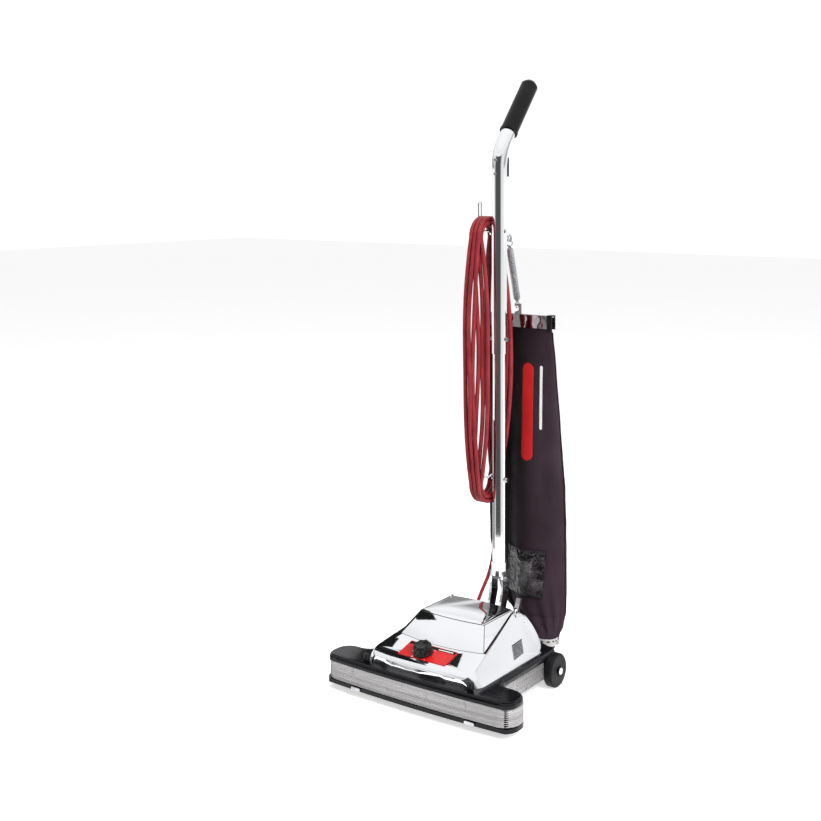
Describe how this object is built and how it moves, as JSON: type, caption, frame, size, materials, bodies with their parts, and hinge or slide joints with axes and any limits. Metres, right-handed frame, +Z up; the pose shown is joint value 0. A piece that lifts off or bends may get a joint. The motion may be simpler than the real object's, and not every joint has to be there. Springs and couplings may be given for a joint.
{
  "type": "upright vacuum cleaner",
  "caption": "Upright commercial vacuum cleaner with a wide T-shaped nozzle, polished hood, tilting tube handle, coiled cord and a hanging cloth bag",
  "frame": {"origin": "On the floor, under the middle of the whole machine's bounding box; the upright handle tube's axis is 89.7 mm behind it.", "axes": "+Z is up; the nozzle points to -Y and the bag hangs on the +Y side; +X is the side of the bag's neck and the exhaust elbow."},
  "size_m": [0.434, 0.4526, 1.224],
  "materials": {
    "casting_black": "gloss black enamel over cast metal",
    "plate_black": "semi-gloss black",
    "guard_grey": "matt ribbed bumper",
    "chrome": "polished plate, fine scratches",
    "steel": "zinc plated",
    "iron": "bare core plates",
    "brass": "dull",
    "black_plastic": "moulded black",
    "black_matt": "moulded black, matt",
    "black_rubber": "smooth rubber",
    "wheel_rubber": "hard black rubber",
    "label_red": "printed plate, no lettering",
    "rocker_red": "moulded red",
    "cord_crimson": "smooth flexible cord",
    "roll_metal": "painted roll",
    "aluminium": "die cast",
    "bag_cloth": "very dark aubergine woven cloth, soft folds",
    "pocket_vinyl": "clear crinkled vinyl"
  },
  "bodies": {
    "chassis": {"base_casting": "casting_black", "bottom_plate": "plate_black", "furniture_guard": "guard_grey", "hood": "chrome", "hood_corner_clips": "black_plastic", "hood_screws": "chrome", "label_plate": "label_red", "side_vents": "black_matt", "rear_axles": "steel", "axle_caps": "chrome", "fan_housing": "plate_black", "fan_cover": "aluminium", "motor_housing": "iron", "motor_stator": "iron", "carbon_brushes": "brass", "front_bearing": "steel", "rear_bearing": "brass", "drive_belt": "black_rubber", "roll_end_caps": "black_matt", "exhaust_duct": "black_matt", "exhaust_elbow": "plate_black", "bag_collar": "chrome", "strain_relief": "black_rubber", "pivot_bracket": "aluminium", "pivot_pin": "steel", "lever_pin": "steel"},
    "latch_left": {"plate_latch_left": "steel"},
    "latch_right": {"plate_latch_right": "steel"},
    "knob": {"height_knob": "black_plastic"},
    "carriage": {"front_carriage": "steel"},
    "front_wheel_left": {"front_wheel_left": "wheel_rubber"},
    "front_wheel_right": {"front_wheel_right": "wheel_rubber"},
    "rear_wheel_left": {"rear_wheel_left": "wheel_rubber"},
    "rear_wheel_right": {"rear_wheel_right": "wheel_rubber"},
    "rotor": {"armature": "iron", "impeller": "aluminium", "drive_pulley": "aluminium"},
    "brush": {"brush_roll": "roll_metal", "bristles": "black_rubber"},
    "lever": {"release_lever": "chrome"},
    "handle": {"handle_fork": "chrome", "fork_bolt": "steel", "lower_tube": "chrome", "joint_bolt": "steel", "upper_tube": "chrome", "hand_grip": "black_rubber", "switch_plate": "black_plastic", "switch_screws": "steel", "lower_cord_hook": "chrome", "spring_hanger": "steel", "power_cord": "cord_crimson", "cord_lead": "cord_crimson", "bag_spring": "steel"},
    "rocker": {"switch_rocker": "rocker_red"},
    "cord_hook": {"upper_cord_hook": "chrome"},
    "bag": {"bag": "bag_cloth", "bag_pocket": "pocket_vinyl"},
    "clip": {"bag_clip": "chrome", "clip_end_caps": "black_plastic"}
  },
  "joints": [
    {"name": "handle_tilt", "type": "hinge", "parent": "chassis", "child": "handle", "pos_m": [0, 0.06971, 0.096], "axis": [-1, 0, 0], "range_deg": [0, 60]},
    {"name": "bag_tilt", "type": "hinge", "parent": "chassis", "child": "bag", "pos_m": [0.092, 0.12571, 0.06], "axis": [-1, 0, 0], "range_deg": [0, 60], "deforming": ["bag_spring"]},
    {"name": "clip_slide", "type": "slide", "parent": "bag", "child": "clip", "axis": [1, 0, 0], "range_m": [0, 0.175]},
    {"name": "motor_spin", "type": "hinge", "parent": "chassis", "child": "rotor", "pos_m": [0, -0.06028, 0.074], "axis": [0, 1, 0], "continuous": true},
    {"name": "brush_spin", "type": "hinge", "parent": "chassis", "child": "brush", "pos_m": [0, -0.18529, 0.038], "axis": [1, 0, 0], "continuous": true},
    {"name": "rear_wheel_left_spin", "type": "hinge", "parent": "chassis", "child": "rear_wheel_left", "pos_m": [-0.152, 0.05371, 0.033], "axis": [1, 0, 0], "continuous": true},
    {"name": "rear_wheel_right_spin", "type": "hinge", "parent": "chassis", "child": "rear_wheel_right", "pos_m": [0.152, 0.05371, 0.033], "axis": [1, 0, 0], "continuous": true},
    {"name": "carriage_lift", "type": "slide", "parent": "chassis", "child": "carriage", "axis": [0, 0, 1], "range_m": [-0.01, 0]},
    {"name": "front_wheel_left_spin", "type": "hinge", "parent": "carriage", "child": "front_wheel_left", "pos_m": [-0.056, -0.12329, 0.018], "axis": [1, 0, 0], "continuous": true},
    {"name": "front_wheel_right_spin", "type": "hinge", "parent": "carriage", "child": "front_wheel_right", "pos_m": [0.056, -0.12329, 0.018], "axis": [1, 0, 0], "continuous": true},
    {"name": "knob_turn", "type": "hinge", "parent": "chassis", "child": "knob", "pos_m": [-0.012, -0.16628, 0.09587], "axis": [0, -0.2455, 0.9694], "range_deg": [-241, 0]},
    {"name": "latch_left_turn", "type": "hinge", "parent": "chassis", "child": "latch_left", "pos_m": [-0.132, -0.22029, 0.018], "axis": [0, -1, 0], "range_deg": [0, 90]},
    {"name": "latch_right_turn", "type": "hinge", "parent": "chassis", "child": "latch_right", "pos_m": [0.132, -0.22029, 0.018], "axis": [0, -1, 0], "range_deg": [0, 90]},
    {"name": "lever_press", "type": "hinge", "parent": "chassis", "child": "lever", "pos_m": [0.051, 0.05371, 0.082], "axis": [-1, 0, 0], "range_deg": [0, 12], "stiffness_Nm_per_rad": 1},
    {"name": "rocker_press", "type": "hinge", "parent": "handle", "child": "rocker", "pos_m": [0, 0.10872, 1.034], "axis": [-1, 0, 0], "range_deg": [0, 12], "stiffness_Nm_per_rad": 0.01},
    {"name": "cord_hook_turn", "type": "hinge", "parent": "handle", "child": "cord_hook", "pos_m": [-0.03, 0.08972, 0.9], "axis": [1, 0, 0], "range_deg": [0, 180]}
  ],
  "couplings": [
    {"joint": "bag_tilt", "follows": "handle_tilt", "ratio": 1},
    {"joint": "brush_spin", "follows": "motor_spin", "ratio": 0.5442},
    {"joint": "knob_turn", "follows": "carriage_lift", "rad_per_m": 418.88}
  ]
}
